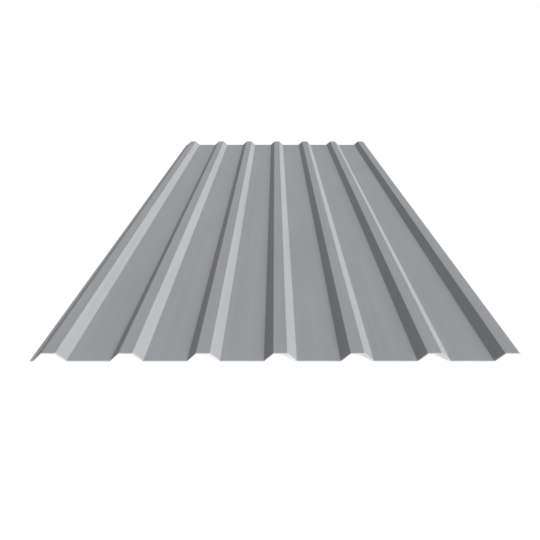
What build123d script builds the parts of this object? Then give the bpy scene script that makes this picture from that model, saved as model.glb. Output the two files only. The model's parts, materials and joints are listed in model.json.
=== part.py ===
from build123d import *
import math
import os

# A box-profile roofing sheet, roll-formed from one strip of coated steel.
# X runs across the ribs, Y runs along them, and Z is up.
# The undersides of the pans lie on Z = 0, and the origin is under the middle of the sheet.
# Sizes are in millimetres, and those across the section are taken on the middle line of the steel.

# Driving dimensions
sheet_length = 2200.0
cover_width = 1000.0  # middle of the first rib to middle of the last, as laid
rib_count = 7
rib_depth = 20.0  # pan to crown, between like faces
rib_base_width = 71.0  # between the two bends where a rib leaves the pans
crown_width = 30.0  # between the two bends at the top of a rib
foot_width = 8.0  # flat foot outside the first rib, which bears on the purlin
lip_length = 8.0  # short leg outside the last rib, measured down its slope
gauge = 0.7  # thickness of the steel
inside_bend_radius = 2.5

# Worked out from them
rib_pitch = cover_width / (rib_count - 1)
web_run = (rib_base_width - crown_width) / 2
web_angle = math.atan2(rib_depth, web_run)
middle_bend_radius = inside_bend_radius + gauge / 2


def rib_corners(middle):
    """The four bends of a whole rib about its middle, from left to right."""
    half_base = rib_base_width / 2
    half_crown = crown_width / 2
    return [
        (middle - half_base, 0),
        (middle - half_crown, rib_depth),
        (middle + half_crown, rib_depth),
        (middle + half_base, 0),
    ]


def foot_edge(first_bend):
    """The free edge of the bearing foot, level with the pans."""
    return (first_bend[0] - foot_width, first_bend[1])


def lip_edge(last_bend):
    """The free edge of the lip, down the slope from the last crown."""
    run = lip_length * math.cos(web_angle)
    drop = lip_length * math.sin(web_angle)
    return (last_bend[0] + run, last_bend[1] - drop)


def section_corners():
    """Every corner of the middle line, from the foot on the left to the lip on the right."""
    corners = []
    for rib in range(rib_count):
        corners += rib_corners(rib * rib_pitch)
    corners.pop()  # the last rib ends in the lip, and has no right web
    return [foot_edge(corners[0]), *corners, lip_edge(corners[-1])]


def skin_line(middle_line, side):
    """One face of the steel, half the gauge from its middle line, with its foot end and its lip end."""
    skin = middle_line.offset_2d(gauge / 2, side=side, closed=False)
    ends = skin.vertices().sort_by(Axis.X)
    return skin.edges(), ends[0], ends[-1]


def steel_section():
    """The cut end of the sheet: weather face and underside, joined by the two slit edges."""
    middle_line = FilletPolyline(*section_corners(), radius=middle_bend_radius)
    weather_face, foot_top, lip_top = skin_line(middle_line, Side.LEFT)
    underside, foot_bottom, lip_bottom = skin_line(middle_line, Side.RIGHT)
    foot_slit = Edge.make_line(foot_top, foot_bottom)
    lip_slit = Edge.make_line(lip_top, lip_bottom)
    return make_face([*weather_face, lip_slit, *underside, foot_slit])


def roofing_sheet():
    """The section drawn out to the sheet's length, and set down on its pans about the origin."""
    drawn = extrude(Plane.XZ * steel_section(), amount=sheet_length / 2, both=True)
    reach = drawn.bounding_box()
    return Pos(-reach.center().X, -reach.center().Y, -reach.min.Z) * drawn


os.makedirs("parts", exist_ok=True)
export_step(roofing_sheet(), "parts/roofing_sheet.step")
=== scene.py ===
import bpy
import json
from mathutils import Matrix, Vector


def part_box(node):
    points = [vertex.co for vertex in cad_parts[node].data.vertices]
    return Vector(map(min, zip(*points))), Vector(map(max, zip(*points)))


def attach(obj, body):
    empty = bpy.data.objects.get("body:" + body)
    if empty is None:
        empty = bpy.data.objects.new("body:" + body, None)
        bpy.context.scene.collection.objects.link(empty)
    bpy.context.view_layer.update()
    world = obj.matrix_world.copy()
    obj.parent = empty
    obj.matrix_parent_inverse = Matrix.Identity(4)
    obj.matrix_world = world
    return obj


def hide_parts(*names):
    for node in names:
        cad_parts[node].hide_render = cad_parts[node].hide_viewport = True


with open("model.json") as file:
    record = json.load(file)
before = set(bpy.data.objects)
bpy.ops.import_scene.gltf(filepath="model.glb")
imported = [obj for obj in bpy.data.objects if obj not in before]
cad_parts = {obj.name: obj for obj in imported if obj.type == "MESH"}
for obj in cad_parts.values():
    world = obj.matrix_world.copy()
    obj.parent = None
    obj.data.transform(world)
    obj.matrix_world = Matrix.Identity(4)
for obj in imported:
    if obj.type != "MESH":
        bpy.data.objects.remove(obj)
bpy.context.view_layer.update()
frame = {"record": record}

import json
import math

import bpy
import numpy as np
from mathutils import Vector

# A trapezoidal roofing sheet of coil-coated steel, lying on a pale floor. Everything is in metres:
# X runs across the ribs, Y runs along them and Z is up.

sheetNode = "roofing_sheet"
sheetLow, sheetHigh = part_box(sheetNode)
mountAt = {mount["name"]: mount["pos_m"] for mount in frame["record"]["mounts"]}


def addObject(name, data):
    thing = bpy.data.objects.new(name, data)
    bpy.context.collection.objects.link(thing)
    return thing


# Camera

cameraView = {
    "height": 0.6613,  # above the floor
    "standOff": 0.9194,  # in front of the sheet's near end
    "pitchDown": 25.63,  # degrees below the horizon
    "lens": 34.33,  # mm
    "sensor": 36,  # mm wide
    "shift": -0.0094,  # slides the picture sideways, as a share of its width
}


def addCamera(settings):
    data = bpy.data.cameras.new("sheetCamera")
    data.lens = settings["lens"]
    data.sensor_width = settings["sensor"]
    data.shift_x = settings["shift"]
    camera = addObject("sheetCamera", data)
    camera.location = (0, sheetLow[1] - settings["standOff"], settings["height"])
    camera.rotation_euler = (math.radians(90 - settings["pitchDown"]), 0, 0)
    bpy.context.scene.camera = camera


addCamera(cameraView)
print("camera placed")

# The sheet's surface

sheetShape = {
    "gauge": 0.0007,
    "insideBendRadius": 0.0025,
    "ribCount": 7,
    "ribBaseWidth": 0.071,  # between the two bends where a rib leaves the pans
    "crownWidth": 0.030,  # between the two bends at the top of a rib
    "footWidth": 0.008,
    "lipLength": 0.008,  # down its slope
    "edgeRounding": 0.00012,  # where the shear drew the faces over
    "panLift": 0.0003,  # most that a pan stands off the floor between its bends
    "crownSag": 0.0001,
    # The buckling's waves: length along the ribs, share of the height, radians further on each stretch
    "waves": [(0.47, 0.3, 2.4), (0.29, 0.2, 4.08)],
    "stationSpacing": 0.025,  # of the vertices along the ribs
    "facesAcross": {"foot": 2, "web": 4, "crown": 4, "pan": 14, "lip": 2, "bend": 6},
    "flatMargin": 0.0004,  # a narrow face beside each bend and edge, so that the flats shade flat
}


def sheetRuns(shape):
    # Kind, length and slope of each straight run, corner to corner: the foot, then web, crown, web and
    # pan for each rib, with the last web cut short as the lip. A web rises by the depth over half the
    # difference between the rib's two widths.
    pitch = (mountAt["over_lap_crown"][0] - mountAt["under_lap_crown"][0]) / (shape["ribCount"] - 1)
    depth = sheetHigh[2] - sheetLow[2] - shape["gauge"]
    webRun = (shape["ribBaseWidth"] - shape["crownWidth"]) / 2
    webSlope = math.atan2(depth, webRun)
    web = math.hypot(webRun, depth)
    rib = [
        ("web", web, webSlope),
        ("crown", shape["crownWidth"], 0),
        ("web", web, -webSlope),
        ("pan", pitch - shape["ribBaseWidth"], 0),
    ]
    runs = [("foot", shape["footWidth"], 0)] + rib * shape["ribCount"]
    return runs[:-2] + [("lip", shape["lipLength"], -webSlope)]


def sectionStretches(shape):
    # The middle line as flats and bends in turn, with the developed length at which each ends. A bend
    # takes its radius times the tangent of half its turn off each run beside it, and adds its radius
    # times its turn.
    kinds, lengths, slopes = (np.array(column) for column in zip(*sheetRuns(shape)))
    radius = shape["insideBendRadius"] + shape["gauge"] / 2
    turns = np.abs(np.diff(slopes))
    taken = radius * np.tan(turns / 2)
    stretches = np.zeros(2 * len(kinds) - 1)
    stretches[0::2] = lengths - np.append(0, taken) - np.append(taken, 0)
    stretches[1::2] = radius * turns
    allKinds = np.full(len(stretches), "bend", dtype=object)
    allKinds[0::2] = kinds
    return allKinds, np.append(0, np.cumsum(stretches)), np.repeat(slopes, 2)


def bendSpans(ends):
    # The developed lengths at which the bends begin, and those at which they end
    return ends[1:-1:2], ends[2:-1:2]


def stripSize(shape):
    # The flat strip that the sheet was rolled from, as wide as the whole developed length
    return {"width": float(sectionStretches(shape)[1][-1]), "length": sheetHigh[1] - sheetLow[1]}


def edgeSamples(length, shape):
    # Samples near both ends of a length: r (1 - sin a) from the end, for steps of the angle a round the
    # edge's quarter circle of radius r, and one more a narrow margin further in
    near = shape["edgeRounding"] * (1 - np.sin(np.radians([90, 45, 0])))
    near = np.append(near, near[-1] + shape["flatMargin"])
    return np.concatenate([near, length - near])


def inOrder(*samples):
    # All the samples in order, each of them once, to the nanometre
    return np.unique(np.round(np.concatenate(samples), 9))


def samplesAcross(kinds, ends, shape):
    # Developed lengths: each stretch evenly divided, with a narrow margin inside the ends of each flat
    marks = np.append(0, np.cumsum([shape["facesAcross"][kind] for kind in kinds]))
    even = np.interp(np.arange(marks[-1] + 1), marks, ends)
    bendStarts, bendEnds = bendSpans(ends)
    margin = shape["flatMargin"]
    return inOrder(even, bendStarts - margin, bendEnds + margin, edgeSamples(ends[-1], shape))


def samplesAlong(length, shape):
    # Places along Y from the middle: evenly spaced stations and the rounding of the two ends
    stations = np.linspace(0, length, round(length / shape["stationSpacing"]) + 1)
    return inOrder(stations, edgeSamples(length, shape)) - length / 2


def middleLine(across, ends, slopes):
    # Points and directions on the middle line by developed length. The slope is constant on a flat and
    # changes evenly round a bend, so the chord between two samples is their distance times sin(h) / h,
    # where h is half the turn between them, and it lies at their mean slope. The points are the chords
    # added up.
    slope = np.interp(across, ends, slopes)
    half = np.diff(slope) / 2
    chord = np.diff(across) * np.sinc(half / np.pi)
    mean = slope[:-1] + half
    x = np.append(0, np.cumsum(chord * np.cos(mean)))
    z = np.append(0, np.cumsum(chord * np.sin(mean)))
    return x, z, slope


def buckling(across, along, kinds, ends, shape):
    # How far the steel stands off its true line: the stretch's own height, times the squared sine of
    # half a turn across its width, times waves along the sheet that add up to between 0 and 1.
    heights = {"pan": shape["panLift"], "crown": -shape["crownSag"]}
    stretch = np.clip(np.searchsorted(ends, across, side="right") - 1, 0, len(kinds) - 1)
    height = np.array([heights.get(kind, 0) for kind in kinds])[stretch]
    share = (across - ends[stretch]) / np.diff(ends)[stretch]
    waves = 0
    for length, part, phase in shape["waves"]:
        turn = 2 * np.pi * along[:, None] / length + phase * stretch
        waves = waves + part * (1 + np.sin(turn))
    return height * np.sin(np.pi * share) ** 2 * waves


def edgeRoll(across, along, strip, rounding):
    # How much the half thickness shrinks beside an edge: r - sqrt(r^2 - (r - d)^2), a quarter round of
    # radius r, where d is the distance to the nearest edge of the strip.
    toSlit = np.minimum(across, strip["width"] - across)
    toCut = strip["length"] / 2 - np.abs(along)
    distance = np.minimum(toSlit[None, :], toCut[:, None])
    inside = np.clip(rounding - distance, 0, rounding)
    return rounding - np.sqrt(rounding**2 - inside**2)


def sheetPoints(across, along, shape):
    # The section carried along Y. Each point is the middle line's, plus its normal times the buckling
    # and plus or minus half the thickness, less the edge's rounding. The weather face comes first.
    kinds, ends, slopes = sectionStretches(shape)
    x, z, slope = middleLine(across, ends, slopes)
    x = x + mountAt["under_lap_crown"][0] - shape["ribBaseWidth"] / 2 - shape["footWidth"]
    z = z + sheetLow[2] + shape["gauge"] / 2
    lift = buckling(across, along, kinds, ends, shape)
    half = shape["gauge"] / 2 - edgeRoll(across, along, stripSize(shape), shape["edgeRounding"])
    y = np.broadcast_to(along[:, None], lift.shape)
    sides = [
        np.stack([x - np.sin(slope) * off, y, z + np.cos(slope) * off], axis=2).reshape(-1, 3)
        for off in (lift + half, lift - half)
    ]
    return np.concatenate(sides)


def sheetFaces(rows, columns):
    # Every face of a closed sheet whose upper grid of vertices comes first and whose lower one follows,
    # as corner numbers that run anticlockwise seen from outside, and the part that it belongs to:
    # 0 upper, 1 lower, 2 near end, 3 far end, 4 left edge, 5 right edge.
    upper = np.arange(rows * columns).reshape(rows, columns)
    lower = upper + rows * columns

    def quads(*corners):
        return np.stack([corner.ravel() for corner in corners], axis=1)

    parts = [
        quads(upper[:-1, :-1], upper[:-1, 1:], upper[1:, 1:], upper[1:, :-1]),
        quads(lower[:-1, :-1], lower[1:, :-1], lower[1:, 1:], lower[:-1, 1:]),
        quads(lower[0, :-1], lower[0, 1:], upper[0, 1:], upper[0, :-1]),
        quads(lower[-1, 1:], lower[-1, :-1], upper[-1, :-1], upper[-1, 1:]),
        quads(lower[1:, 0], lower[:-1, 0], upper[:-1, 0], upper[1:, 0]),
        quads(lower[:-1, -1], lower[1:, -1], upper[1:, -1], upper[:-1, -1]),
    ]
    return np.concatenate(parts), np.repeat(np.arange(len(parts)), [len(part) for part in parts])


def meshFromArrays(name, points, faces):
    mesh = bpy.data.meshes.new(name)
    mesh.vertices.add(len(points))
    mesh.vertices.foreach_set("co", points.astype(np.float32).ravel())
    mesh.loops.add(faces.size)
    mesh.loops.foreach_set("vertex_index", faces.astype(np.int32).ravel())
    mesh.polygons.add(len(faces))
    starts = np.arange(0, faces.size, faces.shape[1], dtype=np.int32)
    mesh.polygons.foreach_set("loop_start", starts)
    mesh.update(calc_edges=True)
    return mesh


def addStripMap(mesh, across, along, faces, partOf, gauge):
    # A UV map of the strip as it came off the coil: developed length across it and place along it. On a
    # cut end or slit edge it gives the place along the edge and the height through the steel.
    side, place = np.divmod(faces.ravel(), len(across) * len(along))
    row, column = np.divmod(place, len(across))
    cornerPart = np.repeat(partOf, faces.shape[1])
    onEdge = cornerPart >= 2
    onSlitEdge = cornerPart >= 4
    u = np.where(onSlitEdge, along[row], across[column])
    v = np.where(onEdge, gauge * (1 - side), along[row])
    strip = np.stack([u, v], axis=1).astype(np.float32)
    mesh.uv_layers.new(name="strip").data.foreach_set("uv", strip.ravel())


def addBendDistance(mesh, across, along, ends):
    # How far each vertex is, along the section, from the middle of the nearest bend
    bendStarts, bendEnds = bendSpans(ends)
    distance = np.abs(across[:, None] - (bendStarts + bendEnds) / 2).min(axis=1)
    values = np.tile(distance, 2 * len(along)).astype(np.float32)
    mesh.attributes.new("bendDistance", "FLOAT", "POINT").data.foreach_set("value", values)


def sheetMesh(shape):
    kinds, ends, _ = sectionStretches(shape)
    across = samplesAcross(kinds, ends, shape)
    along = samplesAlong(stripSize(shape)["length"], shape)
    faces, partOf = sheetFaces(len(along), len(across))
    mesh = meshFromArrays("roofingSheet", sheetPoints(across, along, shape), faces)
    # Materials 0 and 1 are the weather face's and the underside's, and 2 is that of all the edges.
    mesh.polygons.foreach_set("material_index", np.minimum(partOf, 2).astype(np.int32))
    mesh.polygons.foreach_set("use_smooth", partOf < 2)
    addStripMap(mesh, across, along, faces, partOf, shape["gauge"])
    addBendDistance(mesh, across, along, ends)
    return mesh


# Shader helpers


def addNode(tree, kind, **values):
    node = tree.nodes.new(kind)
    for name, value in values.items():
        setattr(node, name, value)
    return node


def plug(tree, socket, value):
    # An input takes another node's output or a plain value.
    if isinstance(value, bpy.types.NodeSocket):
        tree.links.new(value, socket)
    else:
        socket.default_value = value


def feed(tree, node, **values):
    # Fills the inputs of these names. Underscores stand for spaces.
    for name, value in values.items():
        plug(tree, node.inputs[name.replace("_", " ")], value)
    return node


def mathNode(tree, operation, *values, clamp=False):
    node = addNode(tree, "ShaderNodeMath", operation=operation, use_clamp=clamp)
    for socket, value in zip(node.inputs, values):
        plug(tree, socket, value)
    return node.outputs[0]


def addShares(tree, start, *parts):
    # The start plus each value times its own share
    total = start
    for value, share in parts:
        total = mathNode(tree, "MULTIPLY_ADD", value, share, total)
    return total


def aboutZero(tree, noise):
    # How far a noise, which runs from 0 to 1, is above or below its middle
    return mathNode(tree, "SUBTRACT", noise, 0.5)


def noiseNode(tree, vector, scale, detail=2.0, roughness=0.5):
    node = addNode(tree, "ShaderNodeTexNoise")
    feed(tree, node, Vector=vector, Scale=scale, Detail=detail, Roughness=roughness)
    return node.outputs["Fac"]


def stretched(tree, vector, scaleX, scaleY):
    # The coordinates, each times a scale of its own
    node = addNode(tree, "ShaderNodeMapping")
    feed(tree, node, Vector=vector, Scale=(scaleX, scaleY, 1))
    return node.outputs["Vector"]


def separated(tree, vector):
    return feed(tree, addNode(tree, "ShaderNodeSeparateXYZ"), Vector=vector).outputs


def fadeOut(tree, distance, full, none):
    # 1 up to the distance full, falling smoothly to 0 at the distance none
    node = addNode(tree, "ShaderNodeMapRange", interpolation_type="SMOOTHSTEP")
    feed(tree, node, Value=distance, From_Min=full, From_Max=none, To_Min=1.0, To_Max=0.0)
    return node.outputs["Result"]


def toned(tree, colour, *parts):
    # The colour times 1 plus each tone times its own share
    node = addNode(tree, "ShaderNodeVectorMath", operation="SCALE")
    plug(tree, node.inputs[0], colour)
    plug(tree, node.inputs["Scale"], addShares(tree, 1.0, *parts))
    return node.outputs["Vector"]


def mixedColour(tree, share, first, second):
    # The first colour where the share is 0 and the second where it is 1. A Mix node keeps inputs for
    # every kind of value, and those for colours are its numbers 6 and 7, with the result at 2.
    node = addNode(tree, "ShaderNodeMix", data_type="RGBA")
    for number, value in ((0, share), (6, first), (7, second)):
        plug(tree, node.inputs[number], value)
    return node.outputs[2]


def bumped(tree, height, distance):
    # The normal of a surface that stands out by the height, from 0 to 1, times the distance
    node = addNode(tree, "ShaderNodeBump")
    return feed(tree, node, Height=height, Distance=distance).outputs["Normal"]


def stripMap(tree):
    return addNode(tree, "ShaderNodeUVMap", uv_map="strip").outputs["UV"]


def newGroup(name, inputs, outputs):
    # A group's tree, the values that it is given by name, and the node that takes what it has made
    tree = bpy.data.node_groups.new(name, "ShaderNodeTree")
    for way, sockets in (("INPUT", inputs), ("OUTPUT", outputs)):
        for socketName, kind in sockets.items():
            tree.interface.new_socket(socketName, in_out=way, socket_type=f"NodeSocket{kind}")
    return tree, addNode(tree, "NodeGroupInput").outputs, addNode(tree, "NodeGroupOutput")


def useGroup(tree, group, **values):
    return feed(tree, addNode(tree, "ShaderNodeGroup", node_tree=group), **values).outputs


def newMaterial(name):
    material = bpy.data.materials.new(name)
    material.use_nodes = True
    return material, material.node_tree, material.node_tree.nodes["Principled BSDF"]


# Effects that the coats share

grainLook = {
    "noiseDetail": 1.0,
    "pitsPerGrain": 3.1,  # side by side
    "peelShare": 0.75,  # of the height
    "pitShare": 0.25,
}


def paintGrain(look):
    # The coat's orange peel, a grain wide, cut by finer pits. Height runs from 0 to 1, and Fleck is that
    # height about 0.
    tree, given, made = newGroup(
        "paintGrain",
        {"Vector": "Vector", "Grains per Metre": "Float"},
        {"Height": "Float", "Fleck": "Float"},
    )
    grains = given["Grains per Metre"]
    peel = noiseNode(tree, given["Vector"], grains, look["noiseDetail"])
    finer = mathNode(tree, "MULTIPLY", grains, look["pitsPerGrain"])
    pits = noiseNode(tree, given["Vector"], finer, look["noiseDetail"])
    height = addShares(tree, 0.0, (peel, look["peelShare"]), (pits, look["pitShare"]))
    feed(tree, made, Height=height, Fleck=aboutZero(tree, height))
    return tree


bandLook = {
    "bandSlimness": 0.012,  # width over length
    "noiseDetail": 3.0,
    "noiseRoughness": 0.6,
    "cloudSlimness": 0.45,
    "clouds": 5.0,  # a metre
}


def rollingBands(look):
    # Long bands that the coating line and the rolls leave along the strip, and slow clouds, each about 0.
    tree, given, made = newGroup(
        "rollingBands",
        {"Vector": "Vector", "Bands per Metre": "Float"},
        {"Bands": "Float", "Clouds": "Float"},
    )
    perMetre = given["Bands per Metre"]
    alongBands = stretched(tree, given["Vector"], 1, look["bandSlimness"])
    bands = noiseNode(tree, alongBands, perMetre, look["noiseDetail"], look["noiseRoughness"])
    alongClouds = stretched(tree, given["Vector"], 1, look["cloudSlimness"])
    clouds = noiseNode(tree, alongClouds, look["clouds"])
    feed(tree, made, Bands=aboutZero(tree, bands), Clouds=aboutZero(tree, clouds))
    return tree


wearLook = {
    "rags": 500.0,  # a metre of edge
    "noiseDetail": 3.0,
    "noiseRoughness": 0.7,
    "bareBelow": 0.40,  # of the distance in widths of the wear, less a noise from 0 to 1
    "coatedAbove": 0.60,
}


def edgeWear(look):
    # A ragged line of bare zinc where the shear and the slitter drew the coat back. Mask is 1 on the
    # metal. Vector takes the strip map, which gives the distances to the slit edges and the cut ends.
    tree, given, made = newGroup(
        "edgeWear",
        {
            "Vector": "Vector",
            "Strip Width": "Float",
            "Strip Length": "Float",
            "Slit Wear": "Float",
            "Cut Wear": "Float",
        },
        {"Mask": "Float"},
    )
    place = separated(tree, given["Vector"])
    toRightSlit = mathNode(tree, "SUBTRACT", given["Strip Width"], place["X"])
    toSlit = mathNode(tree, "MINIMUM", place["X"], toRightSlit)
    halfLength = mathNode(tree, "MULTIPLY", given["Strip Length"], 0.5)
    toCut = mathNode(tree, "SUBTRACT", halfLength, mathNode(tree, "ABSOLUTE", place["Y"]))
    slitShare = mathNode(tree, "DIVIDE", toSlit, given["Slit Wear"])
    cutShare = mathNode(tree, "DIVIDE", toCut, given["Cut Wear"])
    share = mathNode(tree, "MINIMUM", slitShare, cutShare)
    rags = noiseNode(tree, given["Vector"], look["rags"], look["noiseDetail"], look["noiseRoughness"])
    fromRag = mathNode(tree, "SUBTRACT", share, rags)
    feed(tree, made, Mask=fadeOut(tree, fromRag, look["bareBelow"], look["coatedAbove"]))
    return tree


grainGroup = paintGrain(grainLook)
bandsGroup = rollingBands(bandLook)
wearGroup = edgeWear(wearLook)
print("shared effects made")

# Coats

coats = {
    "weatherCoat": {
        "colour": (0.305, 0.309, 0.326),
        "roughness": 0.7,
        "grains": 1500.0,  # a metre
        "slitWear": 0.0004,  # width of the bare zinc along the slit edges
        "cutWear": 0.0030,  # and along the cut ends
    },
    "backingCoat": {
        "colour": (0.47, 0.475, 0.47),
        "roughness": 0.6,
        "grains": 900.0,
        "slitWear": 0.0003,
        "cutWear": 0.0003,
    },
}
coatDetail = {
    "grainHeight": 0.00003,
    "bands": 60.0,  # a metre
    "bendCore": 0.0008,  # full effect of a bend up to here from its middle
    "bendReach": 0.0035,  # and none from here
    "bandTone": 0.16,
    "cloudTone": 0.14,
    "fleckTone": 0.3,
    # lighter along each bend: partly the coat whitening where it is stretched, partly a painted highlight
    "bendWhiteningAndHighlightTone": 0.04,
    "bandRoughness": 0.10,
    "cloudRoughness": 0.12,
    "bendRoughness": -0.08,  # smoother where the coat is stretched
    "specular": 0.06,
    "zinc": (0.58, 0.585, 0.60),
    "zincMetal": 0.5,  # weathered to a dull skin
}


def coat(name, look, detail, strip):
    material, tree, shader = newMaterial(name)
    place = stripMap(tree)
    toBend = addNode(tree, "ShaderNodeAttribute", attribute_name="bendDistance").outputs["Fac"]
    bend = fadeOut(tree, toBend, detail["bendCore"], detail["bendReach"])
    grain = useGroup(tree, grainGroup, Vector=place, Grains_per_Metre=look["grains"])
    bands = useGroup(tree, bandsGroup, Vector=place, Bands_per_Metre=detail["bands"])
    worn = useGroup(
        tree,
        wearGroup,
        Vector=place,
        Strip_Width=strip["width"],
        Strip_Length=strip["length"],
        Slit_Wear=look["slitWear"],
        Cut_Wear=look["cutWear"],
    )["Mask"]
    paint = toned(
        tree,
        look["colour"],
        (bands["Bands"], detail["bandTone"]),
        (bands["Clouds"], detail["cloudTone"]),
        (grain["Fleck"], detail["fleckTone"]),
        # the bend's lighter line, partly stretched coat and partly a painted highlight
        (bend, detail["bendWhiteningAndHighlightTone"]),
    )
    roughness = addShares(
        tree,
        look["roughness"],
        (bands["Bands"], detail["bandRoughness"]),
        (bands["Clouds"], detail["cloudRoughness"]),
        (bend, detail["bendRoughness"]),
    )
    feed(
        tree,
        shader,
        Base_Color=mixedColour(tree, worn, paint, (*detail["zinc"], 1)),
        Roughness=roughness,
        Metallic=mathNode(tree, "MULTIPLY", worn, detail["zincMetal"]),
        Normal=bumped(tree, grain["Height"], detail["grainHeight"]),
        Specular_IOR_Level=detail["specular"],
    )
    return material


# Cut faces

cutFace = {
    # Heights through the steel, as shares of the gauge, and the grey at each
    "layers": [
        (0, 0.40),  # backing coat
        (0.05, 0.58),  # zinc
        (0.10, 0.50),  # torn steel, up to the next height
        (0.42, 0.46),
        (0.55, 0.60),  # burnished steel
        (0.93, 0.64),  # zinc
        (0.97, 0.33),  # weather coat
    ],
    "blue": 1.02,  # times the grey
    "scratchesAlong": 9000,  # a metre of edge
    "scratchesThrough": 900,  # a metre of height, so that each is ten times as high as wide
    "scratchDepth": 0.00002,
    "roughness": 0.25,
    "scratchRoughness": 0.3,  # added where the scratches stand highest
}


def greyRamp(tree, share, layers, blue):
    # The grey of each layer at its height, changing evenly in between. A new ramp has stops at 0 and 1,
    # of which the first is kept.
    ramp = addNode(tree, "ShaderNodeValToRGB")
    stops = ramp.color_ramp.elements
    stops.remove(stops[1])
    for height, grey in layers:
        stop = stops.new(height) if height > 0 else stops[0]
        stop.color = (grey, grey, grey * blue, 1)
    return feed(tree, ramp, Fac=share).outputs["Color"]


def cutSteel(look, gauge):
    material, tree, shader = newMaterial("cutSteel")
    place = stripMap(tree)
    share = mathNode(tree, "DIVIDE", separated(tree, place)["Y"], gauge)
    fine = stretched(tree, place, look["scratchesAlong"], look["scratchesThrough"])
    scratches = noiseNode(tree, fine, 1.0)
    feed(
        tree,
        shader,
        Base_Color=greyRamp(tree, share, look["layers"], look["blue"]),
        Roughness=addShares(tree, look["roughness"], (scratches, look["scratchRoughness"])),
        Normal=bumped(tree, scratches, look["scratchDepth"]),
        Metallic=1.0,
    )
    return material


def addSheet(shape):
    mesh = sheetMesh(shape)
    strip = stripSize(shape)
    for name, look in coats.items():
        mesh.materials.append(coat(name, look, coatDetail, strip))
    mesh.materials.append(cutSteel(cutFace, shape["gauge"]))
    sheet = addObject("roofingSheet", mesh)
    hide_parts(sheetNode)
    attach(sheet, "root")
    return sheet


sheet = addSheet(sheetShape)
print("sheet made,", len(sheet.data.polygons), "faces")

# Floor, lamps and world

white = (1, 1, 1, 1)
studio = {
    "floorSize": 60,
    "floorDrop": 0.0002,  # keeps the floor from meeting the undersides of the pans
    "floorColour": (0.62, 0.62, 0.62),
    "floorRoughness": 0.9,
    "floorGlow": 0.43,  # seen, but no light on the object, so that the lit floor shows white
    "ambient": 0.32,  # the white world's strength as light; it is seen at 1
}
lamps = {
    "keyLight": {
        "strength": 4.75,
        "comesFrom": (0.9, -2.2, 1.0),  # a little steeper across the ribs than their webs
        "softness": 24,  # degrees
        "shadows": True,
    },
    "sideLight": {
        "strength": 2.52,
        "comesFrom": (1.0, 0.0, 0.06),  # nearly level, to pick out the webs that face it
        "softness": 45,
        "shadows": False,
    },
}


def seenDirectly(tree):
    # 1 for camera, glossy and transmission rays, and 0 for the rays that light the object
    path = addNode(tree, "ShaderNodeLightPath").outputs
    seen = mathNode(tree, "ADD", path["Is Camera Ray"], path["Is Glossy Ray"])
    return mathNode(tree, "ADD", seen, path["Is Transmission Ray"], clamp=True)


def addFloor(settings):
    half = settings["floorSize"] / 2
    z = -settings["floorDrop"]
    corners = [(-half, -half, z), (half, -half, z), (half, half, z), (-half, half, z)]
    mesh = bpy.data.meshes.new("studioFloor")
    mesh.from_pydata(corners, [], [(0, 1, 2, 3)])
    material, tree, shader = newMaterial("studioFloor")
    feed(
        tree,
        shader,
        Base_Color=(*settings["floorColour"], 1),
        Roughness=settings["floorRoughness"],
        Specular_IOR_Level=0.0,
        Emission_Color=white,
        Emission_Strength=mathNode(tree, "MULTIPLY", seenDirectly(tree), settings["floorGlow"]),
    )
    mesh.materials.append(material)
    floor = addObject("studioFloor", mesh)


def addSun(name, strength, comesFrom, softness, shadows):
    data = bpy.data.lights.new(name, "SUN")
    data.energy = strength
    data.angle = math.radians(softness)
    data.use_shadow = shadows
    lamp = addObject(name, data)
    lamp.rotation_euler = Vector(comesFrom).to_track_quat("Z", "Y").to_euler()


def addWorld(ambient):
    world = bpy.data.worlds.new("studioWorld")
    world.use_nodes = True
    tree = world.node_tree
    strength = addShares(tree, ambient, (seenDirectly(tree), 1 - ambient))
    feed(tree, tree.nodes["Background"], Color=white, Strength=strength)
    bpy.context.scene.world = world


addFloor(studio)
for name, lamp in lamps.items():
    addSun(name, **lamp)
addWorld(studio["ambient"])
bpy.context.scene.view_settings.view_transform = "Standard"
print("floor, lamps and world made")
